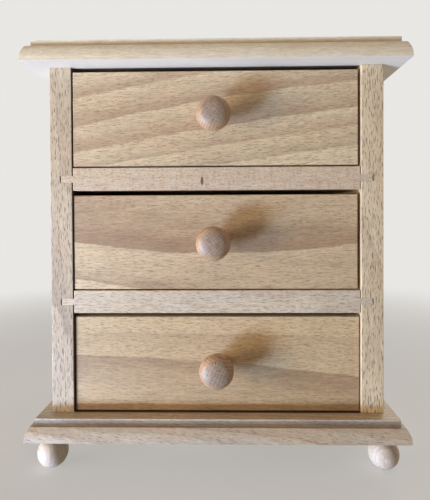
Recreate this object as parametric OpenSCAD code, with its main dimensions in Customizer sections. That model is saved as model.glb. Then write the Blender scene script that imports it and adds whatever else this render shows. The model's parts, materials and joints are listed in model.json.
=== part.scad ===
// Small tabletop chest of three drawers in solid beech, on four turned ball feet.
// The origin is the middle of the chest in plan, at the height its feet stand on.
// X runs to the right, Y to the back and Z up, and the drawers open towards -Y.

/* [Case] */
// Width over the two side panels
case_w = 200; // [150:1:300]
// Depth of the side panels
case_d = 140; // [110:1:240]
// Thickness of the side panels
side_t = 13.4; // [11:0.1:18]
// Clear height of each drawer bay
bay_h = 60.3; // [50:0.1:110]
// Thickness of the two shelves between the drawers
shelf_t = 13.8; // [9:0.1:18]
// Thickness of the tongues along the shelf ends
tongue_t = 3.9; // [3:0.1:6]
// Length of the tongues
tongue_l = 7.1; // [3:0.1:8]
// Space left between a tongue's end and the bottom of its groove
tongue_gap = 0.5; // [0.1:0.1:1]
// Space left between the shoulders of a shelf and the side panels
shoulder_gap = 0.3; // [0:0.05:0.5]
// Thickness of the back panel
back_t = 3; // [2:0.1:5]
// Width of the rebates that the back panel lies in
back_lap = 6; // [4:0.1:8]
// Space left at each upright edge of the back panel
back_play = 0.2; // [0.1:0.1:0.5]

/* [Plates] */
// Thickness of the top plate
top_t = 13.2; // [10:0.1:20]
// Thickness of the base plate
base_t = 12.3; // [10:0.1:20]
// How far the top plate stands out past each side panel
top_over_side = 12.3; // [8:0.1:25]
// How far the top plate stands out past the front of the case
top_over_front = 12.8; // [8:0.1:16]
// How far the base plate stands out past each side panel
base_over_side = 11.8; // [8:0.1:25]
// How far the base plate stands out past the front of the case
base_over_front = 13.1; // [8:0.1:16]
// How far the moulding's upper tier is set in from the widest edge
tier_inset = 4.8; // [3.5:0.1:8]
// Height of the upper tier's step
tier_step = 2.5; // [1:0.1:4]
// Where the ledge under the upper tier ends, in from the widest edge
shoulder_inset = 2.5; // [1:0.1:3]
// Height of the square lip under the moulding's rounded flank
lip_h = 1.2; // [0.5:0.1:3]

/* [Drawers] */
// How far the bottom, middle and top fronts sit behind the front of the case
recess = [1.4, 0.8, 0.5]; // [0:0.1:6]
// Clearance at each side of the bottom, middle and top drawers when they are centred
side_gap = [0.5, 1, 0.9]; // [0.4:0.1:2]
// Clearance under the running edges of the drawers
run_gap = 0.3; // [0.2:0.05:0.5]
// How far the lower edge of a front stands above the running edges
front_lift = 0.3; // [0:0.05:1]
// Gap over the fronts of the bottom, middle and top drawers
front_gap = [2.1, 2.85, 2.65]; // [1:0.05:4]
// Where those drawers rest in their clearance, from -1 at the left end to 1 at the right end
drift = [0, -0.6, -0.55]; // [-0.8:0.05:0.8]
// Sideways place of the knobs on the bottom, middle and top fronts
knob_shift = [0.3, -0.7, -0.4]; // [-3:0.1:3]
// Thickness of the drawer fronts
front_t = 12; // [10:0.1:18]
// Thickness left at the ends of a front, where it laps over the drawer sides
lap_t = 4; // [3:0.1:6]
// Thickness of the drawer sides and backs
board_t = 8; // [6:0.1:10]
// Space left over the drawer sides, below the ceiling of the bay
side_drop = 6; // [4:0.1:20]
// Thickness of the drawer floors
floor_t = 3; // [2:0.1:5]
// Height of a drawer floor above the running edges
floor_up = 4; // [3:0.1:6]
// Depth of the grooves that hold a drawer floor
floor_groove = 3; // [2:0.1:4]
// Space left around a drawer floor in its grooves
floor_play = 0.2; // [0.1:0.1:0.5]
// Space left between the deepest set of the closed drawers and the back panel
stop_gap = 0.4; // [0.2:0.1:2]

/* [Knobs] */
// Width of a knob at its widest ring
knob_d = 20; // [16:0.1:28]
// Length of a knob from the drawer front to the middle of its face
knob_l = 20; // [19.5:0.1:24]
// Height of the widest ring above the drawer front
knob_ring_h = 13.4; // [11:0.1:13.4]
// Radius of the rounding around the widest ring
knob_rim_r = 6; // [4:0.1:6]
// Width of a knob's neck
knob_neck_d = 9.6; // [8:0.1:12]
// Height of the narrowest place of the neck
knob_neck_h = 4.5; // [3:0.1:6]
// Radius of the hollow around the neck
knob_cove_r = 8; // [7:0.1:12]

/* [Feet] */
// Width of a ball foot
ball_d = 18; // [14:0.1:24]
// Width of the flat that a ball foot stands on
foot_flat_d = 5; // [3:0.1:8]
// Width of the neck over the ball
foot_neck_d = 9; // [8:0.1:12]
// Height of the neck between the ball and the base plate
foot_neck_h = 2.8; // [1:0.1:6]
// Distance from a foot's middle to the side edge of the base plate
foot_from_side = 11.6; // [9:0.1:14]
// Distance from a foot's middle to the front or back edge of the base plate
foot_from_edge = 14.1; // [9:0.1:16]

/* [Fixings] */
// Width of the dowels
dowel_d = 6; // [4:0.1:6.5]
// Length of a dowel inside a plate
dowel_in_plate = 8; // [5:0.1:9]
// Length of a dowel inside a side panel
dowel_in_side = 15; // [8:0.5:25]
// Length of a dowel inside a foot
dowel_in_foot = 9; // [6:0.1:11]
// Space left at each end of a dowel
dowel_gap = 0.3; // [0.1:0.1:0.8]
// Distance of the case dowels and base screws from the side panels' upright edges
joint_inset = 25; // [20:0.5:35]
// Width of the screws' shanks
screw_d = 3.5; // [3:0.1:4.5]
// Width of the screws' heads
screw_head_d = 7; // [6:0.1:8]
// Length of the screws that hold the base plate
base_screw_l = 30; // [22:0.5:45]
// Length of the screws that hold the knobs
knob_screw_l = 22; // [20:0.5:24]
// Length of the point of a screw
screw_tip = 3; // [2:0.1:4]
// Width of the cross recess's slots
slot_w = 0.9; // [0.6:0.1:1.2]
// Depth of the cross recess
slot_deep = 1.2; // [0.6:0.1:1.4]
// Width of the pins
pin_d = 1.2; // [1:0.1:1.6]
// Width of the pins' heads
pin_head_d = 2.2; // [1.8:0.1:2.6]
// Height of the pins' heads
pin_head_h = 0.8; // [0.5:0.1:1.2]
// Length of the pins
pin_l = 16; // [13:0.5:20]
// Distance of the drawer pins from the upper and lower edges of a drawer side
pin_inset = 10; // [9:0.5:14]
// Number of pins along each upright edge of the back panel
back_pin_count = 4; // [2:1:6]
// Distance of the outer back pins from the plates
back_pin_inset = 12; // [6:0.5:20]
// Clearance all round a shank, dowel or pin in its hole
fit = 0.05; // [0.02:0.01:0.1]

/* [Hidden] */

// Every round surface is drawn with this many sides
$fn = 96;
// How far a cutting shape runs past the surface that it opens
cut = 1;

// Bays and drawers, counted from below
BOTTOM = 0;
MIDDLE = 1;
TOP = 2;
bay_count = 3;
shelf_count = bay_count - 1;
LEFT = -1;
RIGHT = 1;

// Heights, from the surface that the feet stand on
ball_drop = sqrt(ball_d * ball_d - foot_flat_d * foot_flat_d) / 2;
foot_h = ball_drop + ball_d / 2 + foot_neck_h;
case_z = foot_h + base_t;
case_h = bay_count * bay_h + shelf_count * shelf_t;
top_z = case_z + case_h;
function bay_z(bay) = case_z + bay * (bay_h + shelf_t);
function shelf_z(shelf) = bay_z(shelf) + bay_h;

// Depths, with the whole chest centred on Y = 0
front_reach = max(knob_l - min(recess), top_over_front, base_over_front);
front_y = (front_reach - case_d) / 2;
back_y = front_y + case_d;
inner_d = case_d - back_t;

// Widths
bay_w = case_w - 2 * side_t;
groove_l = tongue_l + tongue_gap;
function front_w(bay) = bay_w - 2 * side_gap[bay];
function box_w(bay) = front_w(bay) - 2 * board_t;

// Places of the drawers
function drawer_x(bay) = drift[bay] * side_gap[bay];
function drawer_y(bay) = front_y + recess[bay];

// Drawer box, from the drawer's own front face and the floor of its bay
drawer_d = inner_d - max(recess) - stop_gap;
side_h = bay_h - run_gap - side_drop;
side_top = run_gap + side_h;
front_low = run_gap + front_lift;
floor_low = run_gap + floor_up;
floor_top = floor_low + floor_t;
function front_top(bay) = bay_h - front_gap[bay];
function knob_z(bay) = (front_low + front_top(bay)) / 2;

// Fixings
dowel_r = dowel_d / 2;
screw_r = screw_d / 2;
head_h = (screw_head_d - screw_d) / 2;
side_mid_x = (case_w - side_t) / 2;
joint_ys = [front_y + joint_inset, back_y - joint_inset];
foot_x = case_w / 2 + base_over_side - foot_from_side;
foot_front_y = front_y - base_over_front + foot_from_edge;
foot_back_y = back_y - foot_from_edge;
pin_front_y = (lap_t + front_t) / 2;
pin_back_y = drawer_d - board_t / 2;
pin_zs = [run_gap + pin_inset, side_top - pin_inset];
back_pin_x = bay_w / 2 + (back_lap - back_play) / 2;
back_pin_step = (case_h - 2 * back_pin_inset) / (back_pin_count - 1);

// Colours
beech = [0.82, 0.71, 0.57];
beech_pale = [0.87, 0.78, 0.66];
beech_rosy = [0.79, 0.67, 0.56];
plywood = [0.86, 0.77, 0.62];
dowel_wood = [0.85, 0.76, 0.63];
steel = [0.7, 0.7, 0.68];

// ---- Shapes that repeat ----

// Waste outside a plate's moulded edge, seen along the edge.
// The widest point is at x = 0, the plate lies towards -x and its underside is at y = 0.
module moulding_waste(t) {
    rise = t - tier_step - lip_h;
    flank_r = (rise * rise + shoulder_inset * shoulder_inset) / (2 * shoulder_inset);
    translate([-tier_inset, t - tier_step]) square([tier_inset + cut, tier_step + cut]);
    difference() {
        translate([-shoulder_inset, lip_h]) square([shoulder_inset + cut, rise + cut]);
        translate([-flank_r, lip_h]) circle(r = flank_r);
    }
}

// A plate with its front and both ends moulded and mitred, and a plain back edge.
// Its widest front edge is at y = 0 and its underside at z = 0.
module moulded_plate(w, d, t) {
    intersection() {
        translate([0, d, 0]) rotate([90, 0, 0]) linear_extrude(d) difference() {
            translate([-w / 2, 0]) square([w, t]);
            for (end = [0, 1]) mirror([end, 0]) translate([w / 2, 0]) moulding_waste(t);
        }
        rotate([90, 0, 90]) translate([0, 0, -w / 2]) linear_extrude(w) difference() {
            square([d, t]);
            mirror([1, 0]) moulding_waste(t);
        }
    }
}

// A countersunk screw that points up from the face of its head at z = 0
module screw(l) {
    difference() {
        union() {
            cylinder(r1 = screw_head_d / 2, r2 = screw_r, h = head_h);
            cylinder(r = screw_r, h = l - screw_tip);
            translate([0, 0, l - screw_tip]) cylinder(r1 = screw_r, r2 = screw_r / 6, h = screw_tip);
        }
        for (turn = [0, 90]) rotate(turn) translate([-screw_d / 2, -slot_w / 2, -cut])
            cube([screw_d, slot_w, slot_deep + cut]);
    }
}

// Hole for such a screw, open at z = 0
module screw_hole(l) {
    translate([0, 0, -cut]) cylinder(r = screw_r + fit, h = l + cut + dowel_gap);
    cylinder(r1 = screw_head_d / 2 + fit, r2 = screw_r + fit, h = head_h);
    translate([0, 0, -cut]) cylinder(r = screw_head_d / 2 + fit, h = cut);
}

// A dowel that runs up from z = 0
module dowel(l) {
    cylinder(r = dowel_r, h = l);
}

// Blind hole for a dowel of that length, from z = 0 up, open below it
module dowel_hole(l) {
    translate([0, 0, -cut]) cylinder(r = dowel_r + fit, h = l + dowel_gap + cut);
}

// A pin that points along +z, its head's face at z = 0
module pin() {
    cylinder(r = pin_head_d / 2, h = pin_head_h);
    cylinder(r = pin_d / 2, h = pin_l);
}

// Hole for a pin, open at z = 0
module pin_hole() {
    translate([0, 0, -cut]) cylinder(r = pin_head_d / 2 + fit, h = pin_head_h + cut);
    cylinder(r = pin_d / 2 + fit, h = pin_l + dowel_gap);
}

// Places its children at each foot's middle, under the base plate
module at_foot(side, y) {
    translate([side * foot_x, y, foot_h]) children();
}

module at_feet() {
    for (side = [LEFT, RIGHT], y = [foot_front_y, foot_back_y]) at_foot(side, y) children();
}

// Places its children at each case joint of one side panel, at a given height
module at_side_joints(side, z) {
    for (y = joint_ys) translate([side * side_mid_x, y, z]) children();
}

// Places its children along one upright edge of the back panel, pointing to the front
module at_back_pins(side) {
    for (i = [0 : back_pin_count - 1])
        translate([side * back_pin_x, back_y, case_z + back_pin_inset + i * back_pin_step])
            rotate([90, 0, 0]) children();
}

// Places its children in one drawer: at its front face, its middle and its bay's floor
module in_drawer(bay) {
    translate([drawer_x(bay), drawer_y(bay), bay_z(bay)]) children();
}

// Places its children at the pins of one drawer side, pointing inwards
module at_drawer_pins(bay, side) {
    for (y = [pin_front_y, pin_back_y], z = pin_zs)
        translate([side * front_w(bay) / 2, y, z]) rotate([0, -90 * side, 0]) children();
}

// ---- Case ----

module base_plate() {
    w = case_w + 2 * base_over_side;
    color(beech) difference() {
        translate([0, front_y - base_over_front, foot_h])
            moulded_plate(w, case_d + base_over_front, base_t);
        at_feet() dowel_hole(dowel_in_plate);
        for (side = [LEFT, RIGHT]) at_side_joints(side, foot_h) screw_hole(base_screw_l);
    }
}

module top_plate() {
    w = case_w + 2 * top_over_side;
    color(beech_pale) difference() {
        translate([0, front_y - top_over_front, top_z])
            moulded_plate(w, case_d + top_over_front, top_t);
        for (side = [LEFT, RIGHT]) at_side_joints(side, top_z) dowel_hole(dowel_in_plate);
    }
}

module side_panel(side) {
    color(beech_rosy) difference() {
        translate([side * side_mid_x - side_t / 2, front_y, case_z]) cube([side_t, case_d, case_h]);
        for (shelf = [0 : shelf_count - 1])
            translate([-bay_w / 2 - groove_l, front_y - cut, shelf_z(shelf) + (shelf_t - tongue_t) / 2])
                cube([bay_w + 2 * groove_l, case_d + 2 * cut, tongue_t]);
        translate([-bay_w / 2 - back_lap, back_y - back_t, case_z - cut])
            cube([bay_w + 2 * back_lap, back_t + cut, case_h + 2 * cut]);
        at_side_joints(side, foot_h) screw_hole(base_screw_l);
        at_side_joints(side, top_z) mirror([0, 0, 1]) dowel_hole(dowel_in_side);
        at_back_pins(side) pin_hole();
    }
}

module shelf(index) {
    body_w = bay_w - 2 * shoulder_gap;
    tip_w = bay_w + 2 * tongue_l;
    color(beech_pale) translate([0, front_y, shelf_z(index)]) {
        translate([-body_w / 2, 0, 0]) cube([body_w, inner_d, shelf_t]);
        translate([-tip_w / 2, 0, (shelf_t - tongue_t) / 2]) cube([tip_w, inner_d, tongue_t]);
    }
}

module back_panel() {
    w = bay_w + 2 * (back_lap - back_play);
    color(plywood) difference() {
        translate([-w / 2, back_y - back_t, case_z]) cube([w, back_t, case_h]);
        for (side = [LEFT, RIGHT]) at_back_pins(side) pin_hole();
    }
}

module foot(side, y) {
    color(beech_pale) at_foot(side, y) mirror([0, 0, 1]) difference() {
        rotate_extrude() {
            square([foot_neck_d / 2, foot_neck_h + ball_d / 2]);
            intersection() {
                translate([0, foot_neck_h + ball_d / 2]) circle(d = ball_d);
                square([ball_d, foot_h]);
            }
        }
        dowel_hole(dowel_in_foot);
    }
}

module foot_dowels() {
    color(dowel_wood) at_feet() translate([0, 0, -dowel_in_foot]) dowel(dowel_in_foot + dowel_in_plate);
}

module base_screws() {
    color(steel) for (side = [LEFT, RIGHT]) at_side_joints(side, foot_h) screw(base_screw_l);
}

module top_dowels() {
    color(dowel_wood) for (side = [LEFT, RIGHT])
        at_side_joints(side, top_z - dowel_in_side) dowel(dowel_in_side + dowel_in_plate);
}

module back_pins() {
    color(steel) for (side = [LEFT, RIGHT]) at_back_pins(side) pin();
}

// ---- Drawers ----

module drawer_front(bay) {
    w = front_w(bay);
    h = front_top(bay) - front_low;
    color(beech) in_drawer(bay) difference() {
        translate([-w / 2, 0, front_low]) cube([w, front_t, h]);
        for (side = [LEFT, RIGHT]) {
            translate([side * (w - board_t + cut) / 2, (front_t + cut + lap_t) / 2, side_top / 2])
                cube([board_t + cut, front_t + cut - lap_t, side_top], center = true);
            at_drawer_pins(bay, side) pin_hole();
        }
        translate([-w / 2, front_t - floor_groove, floor_low])
            cube([w, floor_groove + cut, floor_t]);
        translate([knob_shift[bay], front_t, knob_z(bay)]) rotate([90, 0, 0]) screw_hole(knob_screw_l);
    }
}

module drawer_side(bay, side) {
    mid_x = (front_w(bay) - board_t) / 2;
    inner_w = box_w(bay);
    color(beech_pale) in_drawer(bay) difference() {
        translate([side * mid_x - board_t / 2, lap_t, run_gap]) cube([board_t, drawer_d - lap_t, side_h]);
        translate([-inner_w / 2 - floor_groove, 0, floor_low])
            cube([inner_w + 2 * floor_groove, drawer_d + cut, floor_t]);
        at_drawer_pins(bay, side) pin_hole();
    }
}

module drawer_back(bay) {
    w = box_w(bay);
    color(beech_pale) in_drawer(bay) difference() {
        translate([-w / 2, drawer_d - board_t, floor_top]) cube([w, board_t, side_top - floor_top]);
        for (side = [LEFT, RIGHT]) at_drawer_pins(bay, side) pin_hole();
    }
}

module drawer_floor(bay) {
    w = box_w(bay) + 2 * (floor_groove - floor_play);
    near = front_t - floor_groove + floor_play;
    color(plywood) in_drawer(bay) translate([-w / 2, near, floor_low]) cube([w, drawer_d - near, floor_t]);
}

// Half section of a knob, turned about its axis: x is the radius, y the height over the front
module knob_section() {
    rim_x = knob_d / 2 - knob_rim_r;
    rise = knob_l - knob_ring_h;
    crown_r = (rim_x * rim_x + rise * rise - knob_rim_r * knob_rim_r) / (2 * (rise - knob_rim_r));
    crown_y = knob_l - crown_r;
    // Rounding around the widest ring
    intersection() {
        translate([rim_x, knob_ring_h]) circle(r = knob_rim_r);
        square([knob_d, knob_l]);
    }
    // Slightly domed face, which runs smoothly into that rounding
    intersection() {
        translate([0, crown_y]) circle(r = crown_r);
        polygon([
            [0, crown_y],
            [2 * rim_x, 2 * knob_ring_h - crown_y],
            [2 * rim_x, 2 * knob_l],
            [0, 2 * knob_l]
        ]);
        square([knob_d, knob_l]);
    }
    // Core and neck, with the hollow that fingers reach into
    difference() {
        square([knob_d / 2 - knob_rim_r / 2, knob_ring_h]);
        translate([knob_neck_d / 2 + knob_cove_r, knob_neck_h]) circle(r = knob_cove_r);
    }
}

module drawer_knob(bay) {
    color(beech) in_drawer(bay) difference() {
        translate([knob_shift[bay], 0, knob_z(bay)]) rotate([90, 0, 0]) rotate_extrude() knob_section();
        translate([knob_shift[bay], front_t, knob_z(bay)]) rotate([90, 0, 0]) screw_hole(knob_screw_l);
    }
}

module drawer_knob_screw(bay) {
    color(steel) in_drawer(bay)
        translate([knob_shift[bay], front_t, knob_z(bay)]) rotate([90, 0, 0]) screw(knob_screw_l);
}

module drawer_pins(bay) {
    color(steel) in_drawer(bay) for (side = [LEFT, RIGHT]) at_drawer_pins(bay, side) pin();
}

// ---- The chest ----

base_plate();
top_plate();
side_panel(LEFT);  // left_side_panel
side_panel(RIGHT);  // right_side_panel
shelf(0);  // lower_shelf
shelf(1);  // upper_shelf
back_panel();
foot(LEFT, foot_front_y);  // front_left_foot
foot(RIGHT, foot_front_y);  // front_right_foot
foot(LEFT, foot_back_y);  // back_left_foot
foot(RIGHT, foot_back_y);  // back_right_foot
foot_dowels();
base_screws();
top_dowels();
back_pins();
drawer_front(BOTTOM);  // bottom_drawer_front
drawer_side(BOTTOM, LEFT);  // bottom_drawer_left_side
drawer_side(BOTTOM, RIGHT);  // bottom_drawer_right_side
drawer_back(BOTTOM);  // bottom_drawer_back
drawer_floor(BOTTOM);  // bottom_drawer_floor
drawer_knob(BOTTOM);  // bottom_drawer_knob
drawer_knob_screw(BOTTOM);  // bottom_drawer_knob_screw
drawer_pins(BOTTOM);  // bottom_drawer_pins
drawer_front(MIDDLE);  // middle_drawer_front
drawer_side(MIDDLE, LEFT);  // middle_drawer_left_side
drawer_side(MIDDLE, RIGHT);  // middle_drawer_right_side
drawer_back(MIDDLE);  // middle_drawer_back
drawer_floor(MIDDLE);  // middle_drawer_floor
drawer_knob(MIDDLE);  // middle_drawer_knob
drawer_knob_screw(MIDDLE);  // middle_drawer_knob_screw
drawer_pins(MIDDLE);  // middle_drawer_pins
drawer_front(TOP);  // top_drawer_front
drawer_side(TOP, LEFT);  // top_drawer_left_side
drawer_side(TOP, RIGHT);  // top_drawer_right_side
drawer_back(TOP);  // top_drawer_back
drawer_floor(TOP);  // top_drawer_floor
drawer_knob(TOP);  // top_drawer_knob
drawer_knob_screw(TOP);  // top_drawer_knob_screw
drawer_pins(TOP);  // top_drawer_pins
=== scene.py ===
import json
import math
from collections import namedtuple

import bpy
from mathutils import Matrix, Vector

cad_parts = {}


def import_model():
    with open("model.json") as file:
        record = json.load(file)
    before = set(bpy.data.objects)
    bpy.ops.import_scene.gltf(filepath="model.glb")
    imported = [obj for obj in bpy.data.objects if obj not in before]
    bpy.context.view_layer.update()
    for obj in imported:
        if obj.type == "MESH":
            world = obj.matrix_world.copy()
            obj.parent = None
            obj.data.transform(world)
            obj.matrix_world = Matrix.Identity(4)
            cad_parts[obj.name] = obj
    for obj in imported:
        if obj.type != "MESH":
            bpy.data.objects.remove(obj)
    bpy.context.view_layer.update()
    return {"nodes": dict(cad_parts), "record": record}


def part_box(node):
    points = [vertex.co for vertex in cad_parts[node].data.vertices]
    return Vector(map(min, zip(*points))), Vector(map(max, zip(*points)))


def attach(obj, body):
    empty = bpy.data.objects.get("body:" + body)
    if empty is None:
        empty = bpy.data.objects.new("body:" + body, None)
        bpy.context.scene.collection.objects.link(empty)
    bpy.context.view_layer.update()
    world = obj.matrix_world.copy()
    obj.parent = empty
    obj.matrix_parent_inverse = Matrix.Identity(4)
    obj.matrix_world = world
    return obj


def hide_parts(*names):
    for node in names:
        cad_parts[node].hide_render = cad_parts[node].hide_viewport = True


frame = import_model()

# ---- Sizes, in metres ----

MM = 0.001
DRAWERS = ("bottom", "middle", "top")
HANDS = ("left", "right")

# The moulding along the front and both ends of the plates
TIER_INSET = 4.8 * MM
TIER_STEP = 3.9 * MM
TIER_FILLET = 0.9 * MM
SHOULDER_INSET = 2.5 * MM
LIP = 1.2 * MM
FLANK_STEPS = 10
FILLET_STEPS = 4

# Shelves, grooves and rebates of the case
TONGUE = 3.9 * MM
SHOULDER_GAP = 0.3 * MM
GROOVE_DEEP = 7.6 * MM
BACK_LAP = 6 * MM

# Drawer boards
LAP = 4 * MM
FLOOR_GROOVE = 3 * MM

# Knobs, along their own axis from the drawer front
KNOB_RING = 13.4 * MM
KNOB_RIM_R = 6 * MM
KNOB_NECK_R = 4.8 * MM
KNOB_NECK_AT = 4.5 * MM
KNOB_COVE_R = 8 * MM
KNOB_COVE_OVER = 0.4 * MM

# Ball feet
FOOT_NECK_R = 4.5 * MM
FOOT_FLAT_R = 2.5 * MM

# Fixings
SCREW_R = 1.8 * MM
SCREW_HEAD_R = 3.55 * MM
SCREW_HEAD_DEEP = 1.75 * MM
SCREW_HOLE_DEEP = 6 * MM
PIN_HEAD_R = 1.1 * MM
PIN_HOLE_R = 1.15 * MM
PIN_HOLE_DEEP = 4 * MM
BACK_PINS = 4

# How far the arrises are rounded
PLATE_EASE = 0.7 * MM
BOARD_EASE = 0.5 * MM
FRONT_EASE = 0.7 * MM
THIN_EASE = 0.2 * MM
EASE_STEPS = 3
EASE_ANGLE = math.radians(35)

# How far the larger faces set the shading of the rounded arrises beside them, 50 being the middle
FLAT_WEIGHT = 90

# How far a cutter or a box of painted shade or painted light stands past what it's for
CLEAR = 1 * MM

TURNED_SIDES = 72
HOLE_SIDES = 24
ARC_STEPS = 9


# ---- Modelling ----


def alone(piece):
    """Selects one piece and nothing else."""
    bpy.ops.object.select_all(action="DESELECT")
    piece.select_set(True)
    bpy.context.view_layer.objects.active = piece


def settle(piece):
    """Moves a piece's place, turn and size into its mesh."""
    alone(piece)
    bpy.ops.object.transform_apply(location=True, rotation=True, scale=True)


def named(name):
    """The primitive just added, under its name."""
    piece = bpy.context.object
    piece.name = piece.data.name = name
    return piece


def block(name, low, high):
    """A squared block between two corners."""
    low, high = Vector(low), Vector(high)
    bpy.ops.object.select_all(action="DESELECT")
    bpy.ops.mesh.primitive_cube_add(size=1, location=(low + high) / 2, scale=high - low)
    piece = named(name)
    settle(piece)
    return piece


def edit_faces(piece, test):
    """Opens a piece in edit mode with just the faces selected whose centre and normal pass a test."""
    alone(piece)
    mesh = piece.data
    for parts in (mesh.vertices, mesh.edges, mesh.polygons):
        parts.foreach_set("select", [False] * len(parts))
    for face in mesh.polygons:
        face.select = test(face.center, face.normal)
    bpy.context.tool_settings.mesh_select_mode = (False, False, True)
    bpy.ops.object.mode_set(mode="EDIT")


def close_edit():
    bpy.ops.object.mode_set(mode="OBJECT")


def apply_modifier(piece, kind, **settings):
    """Adds a modifier with these settings and applies it."""
    alone(piece)
    modifier = piece.modifiers.new(kind.title(), kind)
    for key, value in settings.items():
        setattr(modifier, key, value)
    bpy.ops.object.modifier_apply(modifier=modifier.name)


def soften(piece, width):
    """Rounds the arrises of a squared piece."""
    apply_modifier(
        piece, "BEVEL", width=width, segments=EASE_STEPS, limit_method="ANGLE", angle_limit=EASE_ANGLE
    )


def carve(piece, cutters):
    """Takes the cutters' shapes out of a piece."""
    alone(cutters[0])
    for cutter in cutters:
        cutter.select_set(True)
    bpy.ops.object.join()
    cutter = bpy.context.object
    apply_modifier(piece, "BOOLEAN", operation="DIFFERENCE", object=cutter, solver="EXACT")
    bpy.data.objects.remove(cutter)


def shade(piece):
    """Shades rounded places smoothly and keeps the flats flat."""
    alone(piece)
    bpy.ops.object.shade_smooth_by_angle(angle=EASE_ANGLE)
    apply_modifier(piece, "WEIGHTED_NORMAL", keep_sharp=True, weight=FLAT_WEIGHT)


def drill(place, axis, radius, depth):
    """A cutter for a round hole that starts at a place and goes in along an axis."""
    axis = Vector(axis)
    start = place - axis * CLEAR
    bpy.ops.object.select_all(action="DESELECT")
    bpy.ops.mesh.primitive_cylinder_add(
        vertices=HOLE_SIDES,
        radius=radius,
        depth=depth + CLEAR,
        location=start + axis * (depth + CLEAR) / 2,
        rotation=axis.to_track_quat("Z", "Y").to_euler(),
    )
    piece = named("drill")
    settle(piece)
    return piece


def countersink(place, axis):
    """A cutter for a screw's head and the start of its hole."""
    axis = Vector(axis)
    bpy.ops.object.select_all(action="DESELECT")
    reach = SCREW_HEAD_DEEP / 2
    bpy.ops.mesh.primitive_cone_add(
        vertices=HOLE_SIDES,
        radius1=SCREW_HEAD_R,
        radius2=SCREW_R,
        depth=SCREW_HEAD_DEEP,
        location=place + axis * reach,
        rotation=axis.to_track_quat("Z", "Y").to_euler(),
    )
    piece = named("countersink")
    settle(piece)
    return piece


def turned(name, place, turn, profile):
    """A piece turned on a lathe from (radius, height) steps along its axis, then set in its place."""
    (radius, height), *steps = profile
    bpy.ops.object.select_all(action="DESELECT")
    bpy.ops.mesh.primitive_circle_add(
        vertices=TURNED_SIDES, radius=radius, fill_type="NGON", location=(0, 0, height)
    )
    piece = named(name)
    settle(piece)
    edit_faces(piece, lambda centre, normal: True)
    for next_radius, next_height in steps:
        bpy.ops.mesh.extrude_region_move(
            TRANSFORM_OT_translate={"value": (0, 0, next_height - height)}
        )
        scale = next_radius / radius
        bpy.ops.transform.resize(value=(scale, scale, 1), center_override=(0, 0, next_height))
        radius, height = next_radius, next_height
    bpy.ops.mesh.select_all(action="SELECT")
    bpy.ops.mesh.normals_make_consistent(inside=False)
    close_edit()
    piece.location = place
    piece.rotation_euler = turn
    settle(piece)
    alone(piece)
    bpy.ops.object.shade_smooth_by_angle(angle=EASE_ANGLE)
    return piece


def repeated(make, nodes):
    """Models the first of some nodes that are alike, and copies it, mesh and all, for the others."""
    first, *others = nodes
    model = make(first)
    pieces = {first: model}
    for node in others:
        alone(model)
        bpy.ops.object.duplicate()
        piece = named(model.name.replace(first, node))
        piece.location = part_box(node)[0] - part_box(first)[0]
        settle(piece)
        pieces[node] = piece
    return pieces


def set_in(piece, node):
    """Makes a piece stand for a CAD node, on that node's body."""
    body = next(name for name, nodes in frame["record"]["behaviour"]["bodies"].items() if node in nodes)
    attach(piece, body)
    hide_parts(node)


# ---- Case pieces ----


def moulding_steps(thickness):
    """(inset, height) steps of the moulding over its square lip."""
    ledge = thickness - TIER_STEP
    rise = ledge - LIP
    flank_r = (rise**2 + SHOULDER_INSET**2) / (2 * SHOULDER_INSET)
    sweep = math.asin(rise / flank_r)
    for step in range(1, FLANK_STEPS + 1):
        angle = sweep * step / FLANK_STEPS
        yield flank_r * (1 - math.cos(angle)), LIP + flank_r * math.sin(angle)
    for step in range(FILLET_STEPS + 1):
        angle = math.pi / 2 * step / FILLET_STEPS
        inset = TIER_INSET - TIER_FILLET * (1 - math.sin(angle))
        yield inset, ledge + TIER_FILLET * (1 - math.cos(angle))
    yield TIER_INSET, thickness


def moulded_plate(node):
    """A plate with its front and both ends moulded and its back edge plain."""
    low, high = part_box(node)
    width, depth = high.x - low.x, high.y - low.y
    plate = block(f"{node}_board", low, (high.x, high.y, low.z + LIP))
    edit_faces(plate, lambda centre, normal: normal.z > 0.5)
    inset, height = 0, LIP
    for next_inset, next_height in moulding_steps(high.z - low.z):
        bpy.ops.mesh.extrude_region_move(
            TRANSFORM_OT_translate={"value": (0, 0, next_height - height)}
        )
        across = (width - 2 * next_inset) / (width - 2 * inset)
        back = (depth - next_inset) / (depth - inset)
        bpy.ops.transform.resize(value=(across, back, 1), center_override=(0, high.y, 0))
        inset, height = next_inset, next_height
    close_edit()
    soften(plate, PLATE_EASE)
    return plate


def corner_places(node, radius):
    """The middles of four upright fixings, from the box round their heads."""
    low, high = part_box(node)
    for x in (low.x + radius, high.x - radius):
        for y in (low.y + radius, high.y - radius):
            yield Vector((x, y, low.z))


def base_plate():
    plate = moulded_plate("base_plate")
    up = (0, 0, 1)
    places = list(corner_places("base_screws", SCREW_HEAD_R))
    carve(plate, [countersink(place, up) for place in places])
    carve(plate, [drill(place, up, SCREW_R, SCREW_HOLE_DEEP) for place in places])
    shade(plate)
    return plate


def top_plate():
    plate = moulded_plate("top_plate")
    shade(plate)
    return plate


def back_pin_places(side):
    """The middles of the pins' heads along one upright edge of the back panel."""
    low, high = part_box("back_pins")
    x = low.x + PIN_HEAD_R if side < 0 else high.x - PIN_HEAD_R
    first, last = low.z + PIN_HEAD_R, high.z - PIN_HEAD_R
    for i in range(BACK_PINS):
        yield Vector((x, high.y, first + (last - first) * i / (BACK_PINS - 1)))


def carve_back_pins(panel, side):
    """Drills a panel for the pins along one upright edge of the back panel."""
    forward = (0, -1, 0)
    carve(panel, [drill(place, forward, PIN_HOLE_R, PIN_HOLE_DEEP) for place in back_pin_places(side)])


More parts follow.
